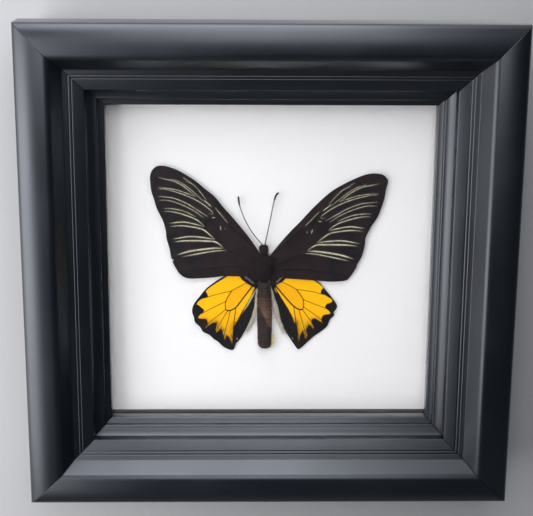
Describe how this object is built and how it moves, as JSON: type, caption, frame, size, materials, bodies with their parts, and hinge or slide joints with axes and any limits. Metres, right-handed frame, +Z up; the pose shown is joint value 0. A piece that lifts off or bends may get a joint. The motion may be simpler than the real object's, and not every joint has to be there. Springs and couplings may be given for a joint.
{
  "type": "framed butterfly specimen",
  "caption": "Dried birdwing butterfly with spread black and golden wings, set on a white board behind glass in a deep stepped black wooden frame that hangs on a wall.",
  "frame": {"origin": "middle of the whole block, halfway between the crown of the moulding and the faces of the wall bumpers", "axes": "+Z up, -Y out of the front through the glass, +Y towards the wall, +X to the viewer's right seen from the front"},
  "size_m": [0.282, 0.0494, 0.282],
  "materials": {
    "black_paint": "satin black paint on wood moulding",
    "pane": "clear picture glass",
    "spacer": "matt black strip",
    "white_card": "matt white mount board",
    "hardboard": "bare brown hardboard",
    "steel": "thin galvanised steel",
    "brass": "brass-plated steel",
    "rubber": "soft black rubber",
    "hairy_body": "dark brown chitin with short hair",
    "dark_wing": "black-brown scales with pale lines beside the veins",
    "gold_wing": "silky golden yellow scales with black veins and border",
    "antenna": "smooth black-brown chitin",
    "glue": "dried clear glue"
  },
  "bodies": {
    "root": {"rail_top": "black_paint", "rail_bottom": "black_paint", "rail_left": "black_paint", "rail_right": "black_paint", "glass_pane": "pane", "spacer_top": "spacer", "spacer_bottom": "spacer", "spacer_left": "spacer", "spacer_right": "spacer", "mount_board": "white_card", "back_panel": "hardboard", "framer_point_1": "steel", "framer_point_2": "steel", "framer_point_3": "steel", "framer_point_4": "steel", "framer_point_5": "steel", "framer_point_6": "steel", "framer_point_7": "steel", "framer_point_8": "steel", "sawtooth_hanger": "brass", "hanger_nail_left": "brass", "hanger_nail_right": "brass", "bumper_left": "rubber", "bumper_right": "rubber", "head": "hairy_body", "thorax": "hairy_body", "abdomen": "hairy_body", "forewing_left": "dark_wing", "forewing_right": "dark_wing", "hindwing_left": "gold_wing", "hindwing_right": "gold_wing", "antenna_left": "antenna", "antenna_right": "antenna", "glue_dab": "glue"}
  },
  "joints": []
}
